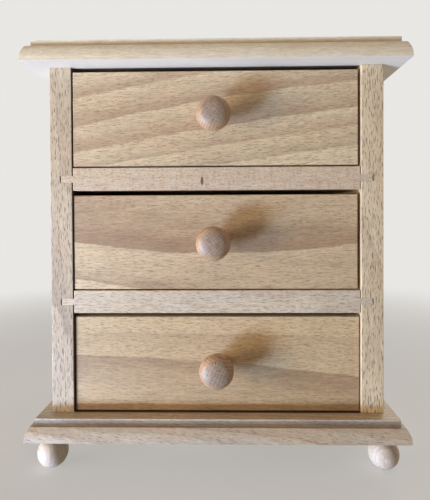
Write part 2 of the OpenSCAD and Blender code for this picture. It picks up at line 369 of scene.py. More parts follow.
def side_panel(node, side):
    """A side panel, grooved for the tongues of the shelves and rebated for the back panel."""
    low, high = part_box(node)
    panel = block(f"{node}_board", low, high)
    soften(panel, BOARD_EASE)
    inner = high.x if side < 0 else low.x
    cutters = []
    for shelf in ("lower_shelf", "upper_shelf"):
        shelf_low, shelf_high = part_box(shelf)
        middle = (shelf_low.z + shelf_high.z) / 2
        cutters.append(block(
            "groove",
            (min(inner + side * GROOVE_DEEP, inner - side * CLEAR), low.y - CLEAR, middle - TONGUE / 2),
            (max(inner + side * GROOVE_DEEP, inner - side * CLEAR), high.y + CLEAR, middle + TONGUE / 2),
        ))
    carve(panel, cutters)
    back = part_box("back_panel")[0].y
    carve(panel, [block(
        "rebate",
        (min(inner + side * BACK_LAP, inner - side * CLEAR), back, low.z - CLEAR),
        (max(inner + side * BACK_LAP, inner - side * CLEAR), high.y + CLEAR, high.z + CLEAR),
    )])
    carve_back_pins(panel, side)
    shade(panel)
    return panel


def shelf(node):
    """A shelf with a tongue along each end."""
    low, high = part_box(node)
    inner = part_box("right_side_panel")[0].x - SHOULDER_GAP
    middle = (low.z + high.z) / 2
    piece = block(f"{node}_board", (-inner, low.y, low.z), (inner, high.y, high.z))
    soften(piece, BOARD_EASE)
    edit_faces(piece, lambda centre, normal: True)
    for height in (middle - TONGUE / 2, middle + TONGUE / 2):
        bpy.ops.mesh.select_all(action="SELECT")
        bpy.ops.mesh.bisect(plane_co=(0, 0, height), plane_no=(0, 0, 1))
    close_edit()
    for side in (-1, 1):
        edit_faces(
            piece,
            lambda centre, normal: normal.x * side > 0.5 and abs(centre.z - middle) < TONGUE / 2,
        )
        reach = high.x - inner
        bpy.ops.mesh.extrude_region_move(TRANSFORM_OT_translate={"value": (side * reach, 0, 0)})
        close_edit()
    shade(piece)
    return piece


def back_panel():
    low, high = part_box("back_panel")
    panel = block("back_panel_sheet", low, high)
    soften(panel, THIN_EASE)
    for side in (-1, 1):
        carve_back_pins(panel, side)
    shade(panel)
    return panel


def foot(node):
    """A turned ball foot: a flat, the ball and a short neck."""
    low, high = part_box(node)
    ball_r = (high.x - low.x) / 2
    drop = math.sqrt(ball_r**2 - FOOT_FLAT_R**2)
    start = math.asin(FOOT_FLAT_R / ball_r)
    end = math.pi - math.asin(FOOT_NECK_R / ball_r)
    profile = []
    for step in range(2 * ARC_STEPS + 1):
        angle = start + (end - start) * step / (2 * ARC_STEPS)
        profile.append((ball_r * math.sin(angle), drop - ball_r * math.cos(angle)))
    profile.append((FOOT_NECK_R, high.z - low.z))
    middle = (low + high) / 2
    return turned(f"{node}_ball", (middle.x, middle.y, low.z), (0, 0, 0), profile)


# ---- Drawer pieces ----


def drawer_pin_places(drawer, side):
    """The middles of the pins' heads in one side of a drawer."""
    low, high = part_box(f"{drawer}_drawer_pins")
    x = low.x if side < 0 else high.x
    for y in (low.y + PIN_HEAD_R, high.y - PIN_HEAD_R):
        for z in (low.z + PIN_HEAD_R, high.z - PIN_HEAD_R):
            yield Vector((x, y, z))


def drawer_front(drawer):
    """A drawer front: rebated at both ends for the drawer sides and grooved for the floor."""
    low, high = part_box(f"{drawer}_drawer_front")
    side_low, side_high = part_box(f"{drawer}_drawer_left_side")
    floor_low, floor_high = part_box(f"{drawer}_drawer_floor")
    board = side_high.x - side_low.x
    piece = block(f"{drawer}_drawer_front_board", low, high)
    soften(piece, FRONT_EASE)
    carve(piece, [
        block("rebate", (x - CLEAR, low.y + LAP, low.z - CLEAR), (x + board, high.y + CLEAR, side_high.z))
        for x in (low.x, high.x - board + CLEAR)
    ])
    carve(piece, [block(
        "groove",
        (low.x - CLEAR, high.y - FLOOR_GROOVE, floor_low.z),
        (high.x + CLEAR, high.y + CLEAR, floor_high.z),
    )])
    screw_low, screw_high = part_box(f"{drawer}_drawer_knob_screw")
    place = Vector(((screw_low.x + screw_high.x) / 2, high.y, (screw_low.z + screw_high.z) / 2))
    carve(piece, [countersink(place, (0, -1, 0))])
    carve(piece, [drill(place, (0, -1, 0), SCREW_R, SCREW_HOLE_DEEP)])
    shade(piece)
    return piece


def drawer_side(node):
    """A drawer side, grooved for the floor."""
    drawer, _, hand, _ = node.split("_")
    side = -1 if hand == "left" else 1
    low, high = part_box(node)
    floor_low, floor_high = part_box(f"{drawer}_drawer_floor")
    piece = block(f"{node}_board", low, high)
    soften(piece, BOARD_EASE)
    inner = high.x if side < 0 else low.x
    carve(piece, [block(
        "groove",
        (min(inner + side * FLOOR_GROOVE, inner - side * CLEAR), low.y - CLEAR, floor_low.z),
        (max(inner + side * FLOOR_GROOVE, inner - side * CLEAR), high.y + CLEAR, floor_high.z),
    )])
    places = drawer_pin_places(drawer, side)
    carve(piece, [drill(place, (-side, 0, 0), PIN_HOLE_R, PIN_HOLE_DEEP) for place in places])
    shade(piece)
    return piece


def drawer_back(drawer):
    low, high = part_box(f"{drawer}_drawer_back")
    piece = block(f"{drawer}_drawer_back_board", low, high)
    soften(piece, BOARD_EASE)
    shade(piece)
    return piece


def drawer_floor(drawer):
    low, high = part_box(f"{drawer}_drawer_floor")
    piece = block(f"{drawer}_drawer_floor_sheet", low, high)
    soften(piece, THIN_EASE)
    shade(piece)
    return piece


def knob_profile(width, length):
    """(radius, height) steps of a knob: a hollow neck, a rounded rim and a slightly domed face."""
    rim_x = width / 2 - KNOB_RIM_R
    rise = length - KNOB_RING
    crown_r = (rim_x**2 + rise**2 - KNOB_RIM_R**2) / (2 * (rise - KNOB_RIM_R))
    crown_y = length - crown_r
    lean = math.atan2(rim_x, KNOB_RING - crown_y)
    cove_x = KNOB_NECK_R + KNOB_COVE_R
    cove_end = KNOB_RING - KNOB_RIM_R + KNOB_COVE_OVER
    profile = []
    for step in range(ARC_STEPS + 1):
        height = cove_end * step / ARC_STEPS
        profile.append((cove_x - math.sqrt(KNOB_COVE_R**2 - (height - KNOB_NECK_AT) ** 2), height))
    first = math.acos((profile[-1][0] - rim_x) / KNOB_RIM_R)
    for step in range(1, 2 * ARC_STEPS + 1):
        angle = -first + (first + math.pi / 2 - lean) * step / (2 * ARC_STEPS)
        profile.append((rim_x + KNOB_RIM_R * math.cos(angle), KNOB_RING + KNOB_RIM_R * math.sin(angle)))
    for step in range(1, ARC_STEPS):
        angle = lean * (1 - step / ARC_STEPS)
        profile.append((crown_r * math.sin(angle), crown_y + crown_r * math.cos(angle)))
    return profile


def knob(node):
    low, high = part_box(node)
    middle = (low + high) / 2
    place = (middle.x, high.y, middle.z)
    facing = (math.pi / 2, 0, 0)
    profile = knob_profile(high.x - low.x, high.y - low.y)
    return turned(f"{node}_turning", place, facing, profile)


# ---- Materials ----


def srgb(red, green, blue):
    """A colour written as it looks on a screen, 0 to 255, as the light values that a socket takes."""
    parts = [part / 255 for part in (red, green, blue)]
    return (*[p / 12.92 if p <= 0.04045 else ((p + 0.055) / 1.055) ** 2.4 for p in parts], 1)


class Wire:
    """One output of a material's nodes. Arithmetic on it adds Math nodes."""

    def __init__(self, works, socket):
        self.works, self.socket = works, socket

    def __add__(self, other):
        return self.works.maths("ADD", self, other)

    def __radd__(self, other):
        return self.works.maths("ADD", other, self)

    def __sub__(self, other):
        return self.works.maths("SUBTRACT", self, other)

    def __rsub__(self, other):
        return self.works.maths("SUBTRACT", other, self)

    def __mul__(self, other):
        return self.works.maths("MULTIPLY", self, other)

    def __rmul__(self, other):
        return self.works.maths("MULTIPLY", other, self)

    def __truediv__(self, other):
        return self.works.maths("DIVIDE", self, other)

    def __rtruediv__(self, other):
        return self.works.maths("DIVIDE", other, self)

    def __pow__(self, other):
        return self.works.maths("POWER", self, other)

    def __abs__(self):
        return self.works.maths("ABSOLUTE", self)


class Works:
    """The nodes of one material."""

    def __init__(self, name):
        self.material = bpy.data.materials.new(name)
        self.material.use_nodes = True
        self.tree = self.material.node_tree
        self.shader = self.tree.nodes["Principled BSDF"]

    def node(self, kind, settings, sockets, output=0):
        """Adds a node: its settings first, then the values or links of its sockets."""
        made = self.tree.nodes.new(kind)
        for key, value in settings.items():
            setattr(made, key, value)
        for key, value in sockets.items():
            self.feed(made.inputs[key], value)
        return Wire(self, made.outputs[output])

    def feed(self, socket, value):
        if isinstance(value, Wire):
            self.tree.links.new(value.socket, socket)
        else:
            socket.default_value = value

    def set(self, **sockets):
        """Sets or links the shader's own sockets, written with _ for a space."""
        for key, value in sockets.items():
            self.feed(self.shader.inputs[key.replace("_", " ")], value)

    def maths(self, operation, *values):
        return self.node("ShaderNodeMath", {"operation": operation}, dict(enumerate(values)))

    def fract(self, value):
        return self.maths("FRACT", value)

    def smooth(self, value, low, high):
        """0 below low and 1 above high, or the other way round, with a smooth ramp between."""
        return self.node(
            "ShaderNodeMapRange",
            {"interpolation_type": "SMOOTHSTEP"},
            {"Value": value, "From Min": low, "From Max": high},
        )

    def place(self):
        """The Object coordinates in millimetres, as three wires."""
        at = self.node("ShaderNodeTexCoord", {}, {}, "Object")
        return [self.node("ShaderNodeSeparateXYZ", {}, {0: at}, axis) / MM for axis in range(3)]

    def vector(self, x, y, z):
        return self.node("ShaderNodeCombineXYZ", {}, {0: x, 1: y, 2: z})

    def parts(self, vector):
        return [self.node("ShaderNodeSeparateXYZ", {}, {0: vector}, axis) for axis in range(3)]

    def noise(self, axes, figure, shift=0):
        """Smooth noise around 0, about -0.5 to 0.5, from its own stretch of the first axis."""
        first, second, third = [axis / size for axis, size in zip(axes, figure.sizes)]
        at = self.vector(first + shift if shift else first, second, third)
        sockets = {"Vector": at, "Scale": 1.0, "Detail": figure.detail, "Roughness": figure.roughness}
        return self.node("ShaderNodeTexNoise", {}, sockets) - 0.5

    def scale(self, colour, light):
        """Makes a colour lighter or darker."""
        return self.node("ShaderNodeVectorMath", {"operation": "SCALE"}, {0: colour, "Scale": light})

    def bump(self, strength, distance, height):
        sockets = {"Strength": strength, "Distance": distance, "Height": height}
        return self.node("ShaderNodeBump", {}, sockets)

    def blend(self, factor, first, second, how="MIX"):
        """Mixes two colours."""
        settings = {"data_type": "RGBA", "blend_type": how, "clamp_factor": True}
        return self.node("ShaderNodeMix", settings, {0: factor, 6: first, 7: second}, 2)


# One kind of noise: the sizes of its features in mm along three axes, which for wood are those of
# wood_axes, how much it changes what it's added to, and its detail and roughness
Figure = namedtuple("Figure", "sizes by detail roughness", defaults=(2.0, 0.5))

# How one board was cut. fibre is the axis that its grain runs along, slope how far the grain climbs on
# its way, and ray_turn the angle, in degrees, of its rays in the plane across the grain. ring is the
# width of a growth ring in mm, lean how far the rings climb along the grain, and seed which stretch of
# the log it is. pale and dark are the colours of its wood. rings says how strongly the growth rings
# show, and rays which kinds of ray flecks the board has.
Cut = namedtuple("Cut", "fibre slope ray_turn ring lean seed pale dark rings rays")

# One kind of ray fleck: the space that each one has and its own half size, both in mm along the grain,
# across the rays and along the rays, its colour, how strongly it shows, and the share of that strength
# that it keeps where its broad side is seen
Rays = namedtuple("Rays", "space half colour strength broad")

# A broad band of colour across a drawer front, in mm from the front's middle: its sharp edge's height
# in the middle of the front, how much that rises to the right end, how far it bows up at both ends,
# how far it fades out at the left and right ends, and its strength
Band = namedtuple("Band", "middle rise bow fade_left fade_right strength")

# A place of painted shade: the box it fills, between two corners in metres, its strength and its colour
PaintedShade = namedtuple("PaintedShade", "low high strength colour")

# The wood of the drawer boxes and dowels, the blush over all the beech, the tint where it is cut across
# the grain, and the turned faces of the knobs: their end grain, greyed by a painted sheen
PALE = srgb(238, 217, 170)
DARK = srgb(172, 145, 108)
ROSY = srgb(218, 184, 142)
END_GRAIN = srgb(186, 172, 154)
KNOB_FACE_AND_SHEEN = srgb(150, 134, 117)

# Painted shade in the case's mouth and on the moulding's step, painted light under the top plate, and
# marks
PAINTED_SHADE = srgb(60, 44, 34)
STEP_SHADE = srgb(176, 175, 184)
UNDERSIDE_LIGHT_COLOUR = srgb(248, 246, 242)
SPLIT = srgb(66, 46, 34)
KNOT = srgb(112, 74, 54)
SCUFF = srgb(238, 228, 208)

# Plywood and zinc
PLY_PALE, PLY_DARK = srgb(216, 193, 155), srgb(186, 157, 120)
ZINC_DARK, ZINC_PALE = srgb(172, 172, 168), srgb(205, 204, 198)

# How the grain wanders, and how the growth rings do, in shares of a ring's width
SWAY = Figure((48, 26, 26), 5, 1.0)
WOBBLE = Figure((10, 5, 5), 1.6, 1.0)
RING_DRIFT = Figure((70, 22, 22), 1.6)
RING_RIPPLE = Figure((9, 2.4, 2.4), 0.16)

# The beech's own figure, and the fine crossing lines of its end grain
CLOUD = Figure((60, 14, 14), 0.5, 3.0)
STREAK = Figure((18, 1.6, 1.9), 0.6, 3.0, 0.65)
FIBRE = Figure((6.5, 0.7, 0.7), 0.7, 2.0, 0.6)
BLUSH = Figure((35, 9, 9), 0.3)
RAY_LINES = Figure((9, 0.55, 6), 0.9)
PORE_LINES = Figure((9, 5, 0.7), 0.7)

# How the edges of the drawer fronts' bands wander, in mm along x, y and z
BAND_DRIFT = Figure((26, 9, 9), 3.2, 3.0)
BAND_RIPPLE = Figure((4.5, 0.9, 0.9), 1.5)

PLY_STREAK = Figure((30, 1.1, 3), 0.5, 3.0)
PLY_FIBRE = Figure((4, 0.35, 0.6), 0.12)
ZINC_MOTTLE = Figure((0.8, 0.8, 0.8), 0.15, 3.0)

# How far the plain ground of the wood lies from pale to dark, how strongly the tint and the lines of
# end grain show, the lines on a knob's face, and how strongly the painted light under the top plate shows
GROUND = 0.3
END_TINT = 0.75
END_HATCH = 0.9
FACE_HATCH = 1.6
UNDERSIDE_LIGHT = 0.65

# How squarely a surface faces along the grain where end grain starts to show, where it does on a knob's
# face, and where it shows in full
END_FROM = 0.55
FACE_FROM = 0.7
END_FULL = 0.97

# The lacquer's weight, and how deep the relief of the wood's surface is
COAT = 0.8
RELIEF = 0.06 * MM
PLY_RELIEF = 0.05 * MM

# How far apart in the log the seeds lie, and those of two kinds of ray flecks in one board, and how far
# the blush is shifted along the grain, as shares of its size
LOG_STRETCH = 173.3
FLECK_STRETCH = 4.7
BLUSH_SHIFT = 7.7

# How softly a box of painted shade or painted light ends, in mm
SHADE_EDGE = 0.25

# The colours of ray flecks, and their kinds: dashes and specks are rays seen end on, silk and ticks
# rays seen from their broad side
RUSSET = srgb(134, 88, 56)
UMBER = srgb(100, 80, 66)
ROSE = srgb(196, 144, 106)
TAWNY = srgb(176, 120, 78)
DASHES = Rays((4.6, 0.95, 13), (2.6, 0.29, 8), RUSSET, 0.74, 0.3)
SPECKS = Rays((2.8, 0.7, 9), (1.3, 0.24, 4), RUSSET, 0.5, 0.3)
FAINT = Rays((3.0, 0.9, 6), (1.3, 0.3, 3), RUSSET, 0.3, 0.3)
POST_DASHES = Rays((5.4, 1.15, 12), (3.0, 0.4, 7), UMBER, 0.92, 0.15)
POST_SPECKS = Rays((3.4, 1.0, 9), (1.5, 0.34, 4), UMBER, 0.65, 0.15)
SILK = Rays((2.6, 1.6, 13), (1.2, 1.0, 8), ROSE, 0.3, 1)
TICKS = Rays((2.1, 1.2, 1.1), (1.15, 0.9, 0.34), TAWNY, 0.75, 1)
BOX_DASHES = Rays((6.2, 1.7, 12), (1.9, 0.28, 7), RUSSET, 0.6, 0.3)


def turned_to(cut, x, y, z):
    """Three parts of a place or a direction turned to the board: along, across and with the rays."""
    along, first, second = {"X": (x, y, z), "Y": (y, z, x), "Z": (z, x, y)}[cut.fibre]
    turn = math.radians(cut.ray_turn)
    across = second * math.cos(turn) - first * math.sin(turn)
    radial = first * math.cos(turn) + second * math.sin(turn)
    return along, across, radial


def wood_axes(works, cut):
    """The distances along the grain, across the rays and with them, in mm, on slightly wavy grain."""
    axes = along, across, radial = turned_to(cut, *works.place())
    shift = cut.seed * LOG_STRETCH
    sway = works.noise(axes, SWAY, shift) * SWAY.by
    wobble = works.noise(axes, WOBBLE, shift) * WOBBLE.by
    return along + shift, across - along * cut.slope + shift + sway + wobble, radial


def wood_facing(works, cut):
    """How squarely the surface faces along the grain, and how much of the rays' broad side it shows."""
    normal = works.node("ShaderNodeTexCoord", {}, {}, "Normal")
    along, across, radial = turned_to(cut, *works.parts(normal))
    return abs(along), works.smooth(abs(across), 0.5, 0.9)


def ray_flecks(works, axes, rays, seed):
    """Ray flecks: thin lens-shaped ribbons, one in each cell of a loose pattern of cells."""
    shifted = [axis / size + seed for axis, size in zip(axes, rays.space)]
    settings = {"voronoi_dimensions": "3D", "feature": "F1"}
    sockets = {"Vector": works.vector(*shifted), "Scale": 1.0, "Randomness": 1.0}
    middle = works.node("ShaderNodeTexVoronoi", settings, sockets, "Position")
    chance = Wire(works, middle.socket.node.outputs["Color"])
    pick, size, depth = works.parts(chance)
    off = [
        abs(here - there) * width for here, there, width in zip(shifted, works.parts(middle), rays.space)
    ]
    length = rays.half[0] * (0.5 + size * 0.8)
    lens = (off[0] / length) ** 2 + off[1] / rays.half[1] + (off[2] / rays.half[2]) ** 2
    return works.smooth(lens, 1.0, 0.3) * works.smooth(pick, 0.0, 0.3) * (0.6 + depth * 0.4)


def ring_tone(works, axes, cut):
    """How dark the growth rings are: a sharp edge, then a slow fade to the next ring."""
    along, across, radial = axes
    drift = works.noise(axes, RING_DRIFT) * cut.ring * RING_DRIFT.by
    ripple = works.noise(axes, RING_RIPPLE) * cut.ring * RING_RIPPLE.by
    phase = (radial + along * cut.lean + drift + ripple) / cut.ring
    fade = works.fract(phase)
    number = works.maths("FLOOR", phase)
    strength = works.node("ShaderNodeTexWhiteNoise", {"noise_dimensions": "1D"}, {"W": number})
    return works.smooth(fade, 0.0, 0.07) * (1 - fade) ** 1.5 * (0.35 + strength * 0.65) * cut.rings


def band_tone(works, bands, middle, half_width, side):
    """How dark a drawer front's broad bands are. side is 1 where they fade upwards and -1 downwards."""
    axes = x, y, z = works.place()
    along = (x - middle.x / MM) / (half_width / MM)
    up = z - middle.z / MM
    drift = works.noise(axes, BAND_DRIFT) * BAND_DRIFT.by
    ripple = works.noise(axes, BAND_RIPPLE) * BAND_RIPPLE.by
    tone = 0.0
    for band in bands:
        edge = band.middle + along * band.rise + along * along * band.bow
        off = (up - edge + drift + ripple) * side
        fade = band.fade_left + (along + 1) * (band.fade_right - band.fade_left) / 2
        step = works.smooth(off, -0.5, 0.9)
        tail = works.maths("EXPONENT", 0 - works.maths("MAXIMUM", off, 0.0) / fade)
        tone = step * tail * band.strength + tone
    return tone


def end_hatch(works, axes):
    """Fine crossing lines of rays and pores, which show where the wood is cut across the grain."""
    return works.noise(axes, RAY_LINES) * RAY_LINES.by + works.noise(axes, PORE_LINES) * PORE_LINES.by


def beech(
    name,
    cut,
    tone=ring_tone,
    roughness=0.5,
    coat_roughness=0.55,
    spots=(),
    painted_shades=(),
    face=None,
    painted_light=None,
):
    """Planed beech, thinly lacquered, cut from a log as cut says.

    spots are small marks, then come the boxes of painted shade. face is the colour of a knob's turned
    face, greyed by a painted sheen, and the last box is painted light, which makes the wood paler.
    """
    works = Works(name)
    axes = wood_axes(works, cut)
    cloud = works.noise(axes, CLOUD) * CLOUD.by
    streak = works.noise(axes, STREAK) * STREAK.by
    fibre = works.noise(axes, FIBRE)
    wood = works.blend(tone(works, axes, cut) + GROUND + cloud + streak, cut.pale, cut.dark)
    blush = works.noise(axes, BLUSH, BLUSH_SHIFT)
    wood = works.blend(works.smooth(blush, -0.2, 0.3) * BLUSH.by, wood, ROSY)
    facing, broadside = wood_facing(works, cut)
    flecks = 0.0
    for number, rays in enumerate(cut.rays):
        fleck = ray_flecks(works, axes, rays, cut.seed + FLECK_STRETCH * number) * rays.strength
        fleck = fleck * (1 - broadside * (1 - rays.broad))
        wood = works.blend(fleck, wood, rays.colour)
        flecks = fleck + flecks
    end = works.smooth(facing, FACE_FROM if face else END_FROM, END_FULL)
    light = 1 + fibre * FIBRE.by + end * end_hatch(works, axes) * (FACE_HATCH if face else END_HATCH)
    wood = works.scale(wood, light)
    if face:
        wood = works.blend(end * END_TINT, wood, works.scale(face[:3], light))
    else:
        wood = works.blend(end * END_TINT, wood, END_GRAIN, "MULTIPLY")
    for place, radius, colour in spots:
        wood = spot(works, wood, place, radius, colour)
    # Painted light: the box is made paler, standing in for light from below
    if painted_light:
        wood = works.blend(within(works, *painted_light) * UNDERSIDE_LIGHT, wood, UNDERSIDE_LIGHT_COLOUR)
    # Painted shade: each box is made darker, standing in for shade
    for low, high, strength, colour in painted_shades:
        wood = works.blend(within(works, low, high) * strength, wood, colour, "MULTIPLY")
    works.set(
        Base_Color=wood,
        Roughness=roughness + fibre * 0.12 + flecks * 0.08,
        Normal=works.bump(0.35, RELIEF, fibre * 0.5 - flecks * 0.6),
        Coat_Weight=COAT,
        Coat_Roughness=coat_roughness,
    )
    return works.material


def spot(works, wood, place, radius, colour):
    """A small mark of another colour round a place in mm, by its radius along each axis."""
    here = works.place()
    off = [((axis - centre) / size) ** 2 for axis, centre, size in zip(here, place, radius)]
    return works.blend(works.smooth(off[0] + off[1] + off[2], 1.0, 0.4), wood, colour)


def within(works, low, high):
    """1 inside a box between two corners and 0 outside it, with a short soft edge."""
    inside = 1.0
    for axis, start, end in zip(works.place(), low, high):
        start, end = start / MM, end / MM
        inside = works.smooth(axis, start - SHADE_EDGE, start + SHADE_EDGE) * inside
        inside = works.smooth(axis, end + SHADE_EDGE, end - SHADE_EDGE) * inside
    return inside


def plywood(name, fibre, seed):
    """Thin plywood: a plain rotary-cut face with wide soft figure and no ray flecks to speak of."""
    works = Works(name)
    cut = Cut(fibre, 0, 20, 5.0, 0.02, seed, PLY_PALE, PLY_DARK, 0.4, ())
    axes = wood_axes(works, cut)
    streak = works.noise(axes, PLY_STREAK) * PLY_STREAK.by
    fibres = works.noise(axes, PLY_FIBRE)
    wood = works.blend(ring_tone(works, axes, cut) + streak, cut.pale, cut.dark)
    wood = works.scale(wood, 1 + fibres * PLY_FIBRE.by)
    bump = works.bump(0.3, PLY_RELIEF, fibres)
    works.set(Base_Color=wood, Roughness=0.62 + fibres * 0.1, Normal=bump)
    return works.material


def zinc_steel():
    """Zinc-plated steel with faint mottling."""
    works = Works("zinc_steel")
    mottle = works.noise(works.place(), ZINC_MOTTLE)
    colour = works.blend(works.smooth(mottle, -0.3, 0.3), ZINC_DARK, ZINC_PALE)
    works.set(Base_Color=colour, Metallic=1.0, Roughness=0.34 + mottle * ZINC_MOTTLE.by)
    return works.material


def paint(piece, material):
    piece.data.materials.clear()
    piece.data.materials.append(material)


# ---- Stage, lights and camera ----

# The camera: the photo's frame, focal length and optical middle in pixels; how far it stands to the
# right of the chest's middle, before the side panels' front and over their lower ends; and its turns in
# radians
PHOTO_W, PHOTO_H = 430, 500
FOCAL_PX = 430
CENTRE_PX = (220.4, 218.9)
EYE_RIGHT = 7.6 * MM
EYE_BEFORE = 258 * MM
EYE_OVER = 120.4 * MM
YAW, PITCH, ROLL = -0.019, -0.013, -0.005
SENSOR = 36
CLIP_NEAR = 0.01


def camera():
    """The camera, straight in front of the chest and very near it."""
    bpy.ops.object.select_all(action="DESELECT")
    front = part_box("left_side_panel")[0]
    data = bpy.data.cameras.new("camera")
    data.sensor_width = SENSOR
    data.lens = FOCAL_PX / PHOTO_H * SENSOR
    data.shift_x = (PHOTO_W / 2 - CENTRE_PX[0]) / PHOTO_H
    data.shift_y = (CENTRE_PX[1] - PHOTO_H / 2) / PHOTO_H
    data.clip_start = CLIP_NEAR
    eye = bpy.data.objects.new("camera", data)
    bpy.context.scene.collection.objects.link(eye)
    turn = Matrix.Rotation(-YAW, 4, "Z") @ Matrix.Rotation(math.pi / 2 + PITCH, 4, "X")
    place = Matrix.Translation((EYE_RIGHT, front.y - EYE_BEFORE, front.z + EYE_OVER))
    eye.matrix_world = place @ turn @ Matrix.Rotation(ROLL, 4, "Z")
    bpy.context.scene.camera = eye


# The colour that the floor fades into and the world shows, as seen by the camera and in reflections,
# and the world's own dim light
BACKDROP = srgb(232, 231, 228)
WORLD_LIGHT = (0.078, 0.038, 0.012, 1)

# Where the lamps look, and each one's place and width in metres, power in watts and colour: a warm one
# at the left, a bluish one under the floor at the left, which lets its light through, a warm soft one
# over the front, and one behind the chest
CHEST = (0, -0.06, 0.13)
Lamp = namedtuple("Lamp", "name place width power colour")
LAMPS = (
    Lamp("left", (-0.72, -0.40, 0.076), 0.22, 4.35, (0.95, 0.76, 0.60)),
    Lamp("low_left", (-0.62, -0.463, -0.211), 0.2, 8.6, (0.444, 0.64, 1.0)),
    Lamp("over", (0.1, -0.6, 0.9), 0.8, 1.3, (1.0, 0.75, 0.55)),
    Lamp("back", (0.8, 0.8, 0.7), 0.9, 5, (1.0, 0.94, 0.86)),
)

# The rays that see the backdrop's colour. All others get the world's light and the floor's paint.
SEEING_RAYS = ("Is Camera Ray", "Is Glossy Ray", "Is Transmission Ray")


def hang(lamp):
    """Makes a soft square lamp that looks at the chest."""
    data = bpy.data.lights.new(lamp.name, "AREA")
    data.shape = "RECTANGLE"
    data.size = data.size_y = lamp.width
    data.energy = lamp.power
    data.color = lamp.colour
    made = bpy.data.objects.new(lamp.name, data)
    bpy.context.scene.collection.objects.link(made)
    made.location = lamp.place
    made.rotation_euler = (Vector(CHEST) - Vector(lamp.place)).to_track_quat("-Z", "Y").to_euler()


def world():
    """A dim warm world that shows the backdrop's colour."""
    room = bpy.data.worlds.new("room")
    bpy.context.scene.world = room
    room.use_nodes = True
    tree = room.node_tree
    shown = tree.nodes["Background"]
    shown.inputs["Color"].default_value = BACKDROP
    lit = tree.nodes.new("ShaderNodeBackground")
    lit.inputs["Color"].default_value = WORLD_LIGHT
    path = tree.nodes.new("ShaderNodeLightPath")
    first, *others = SEEING_RAYS
    seen = path.outputs[first]
    for kind in others:
        most = tree.nodes.new("ShaderNodeMath")
        most.operation = "MAXIMUM"
        tree.links.new(seen, most.inputs[0])
        tree.links.new(path.outputs[kind], most.inputs[1])
        seen = most.outputs[0]
    mix = tree.nodes.new("ShaderNodeMixShader")
    tree.links.new(seen, mix.inputs["Fac"])
    tree.links.new(lit.outputs["Background"], mix.inputs[1])
    tree.links.new(shown.outputs["Background"], mix.inputs[2])
    tree.links.new(mix.outputs["Shader"], tree.nodes["World Output"].inputs["Surface"])


# The floor: its radius in metres, its paint, how much of the backdrop's glow it has near the chest, and
# where that starts to grow and is full, in mm from the middle
FLOOR_R = 4
FLOOR_SIDES = 96
FLOOR_MOTTLE = Figure((60, 60, 1), 1, 4.0)
FLOOR_DARK, FLOOR_PALE = srgb(200, 198, 194), srgb(205, 203, 199)
GLOW_NEAR = 0.5
GLOW_FROM, GLOW_FULL = 150, 700


def floor():
    """A plain pale floor under the feet, which fades into the backdrop's colour further off."""
    bpy.ops.object.select_all(action="DESELECT")
    bpy.ops.mesh.primitive_circle_add(
        vertices=FLOOR_SIDES, radius=FLOOR_R, fill_type="NGON", location=(0, 0, 0)
    )
    piece = named("floor")
    settle(piece)
    works = Works("floor_paint")
    axes = x, y, z = works.place()
    mottle = works.noise(axes, FLOOR_MOTTLE)
    colour = works.blend(works.smooth(mottle, -0.4, 0.4), FLOOR_DARK, FLOOR_PALE)
    works.set(Base_Color=colour, Roughness=0.8)
    seen = 0.0
    for kind in SEEING_RAYS:
        seen = works.maths("MAXIMUM", works.node("ShaderNodeLightPath", {}, {}, kind), seen)
    glow = works.node("ShaderNodeEmission", {}, {"Color": BACKDROP, "Strength": 1.0})
    plain = Wire(works, works.shader.outputs["BSDF"])
    far = works.smooth(x * x + y * y, GLOW_FROM**2, GLOW_FULL**2)
    glowing = seen * (far * (1 - GLOW_NEAR) + GLOW_NEAR)
    shown = works.node("ShaderNodeMixShader", {}, {0: glowing, 1: plain, 2: glow})
    works.tree.links.new(shown.socket, works.tree.nodes["Material Output"].inputs["Surface"])
    paint(piece, works.material)
    piece.visible_shadow = False


# ---- The chest ----

# The bands of each drawer front, measured off its middle
TOP_BANDS = (
    Band(28, 13.4, -2, 9, 9, 0.75),
    Band(11.6, 13.4, -3.3, 9, 9, 0.85),
    Band(-5.1, 13.6, -1.5, 9, 8, 0.8),
    Band(-16.9, 13.2, -1, 7, 6, 0.6),
    Band(-28, 12.5, -1, 6, 5, 0.6),
)
MIDDLE_BANDS = (
    Band(-6.8, -0.6, 6.6, 40, 9, 0.8),
    Band(-36, -13.8, 0, 6, 34, 0.62),
)
BOTTOM_BANDS = (
    Band(17.8, -1.5, 0, 7, 7, 0.3),
    Band(1.2, -6.4, -2.5, 20, 30, 0.6),
    Band(-24.5, 0, 0, 5, 5, 0.7),
)

# How far the fine grain of each front climbs
GRAIN_SLOPE = {"top": 0.06, "middle": 0, "bottom": -0.02}

# The bands and whether they fade upwards, 1, or downwards, -1
FRONT_BANDS = {
    "top": (TOP_BANDS, 1),
    "middle": (MIDDLE_BANDS, 1),
    "bottom": (BOTTOM_BANDS, -1),
}

# Small scuffs on the drawer fronts, a split in a knob and a mark in the upper shelf, in mm from the
# middle: x, z and the radii
FRONT_MARKS = {
    "top": ((80, 6.7, (0.4, 1, 0.4)), (84.3, 25, (0.4, 1, 0.5))),
    "middle": ((51, -17, (0.6, 1, 0.35)),),
    "bottom": (),
}
KNOB_MARKS = {"top": (), "middle": (), "bottom": ((-0.3, 6.9, (0.35, 4, 1.4)),)}
SHELF_MARK = (-8.2, -1.4, (1.0, 3, 3.0))

# How the rays of each knob are turned, and those of the first foot and from each foot to the next, in
# degrees
KNOB_TURN = {"top": -60, "middle": -42, "bottom": 20}
FOOT_TURN, FOOT_TURN_STEP = 35, 50

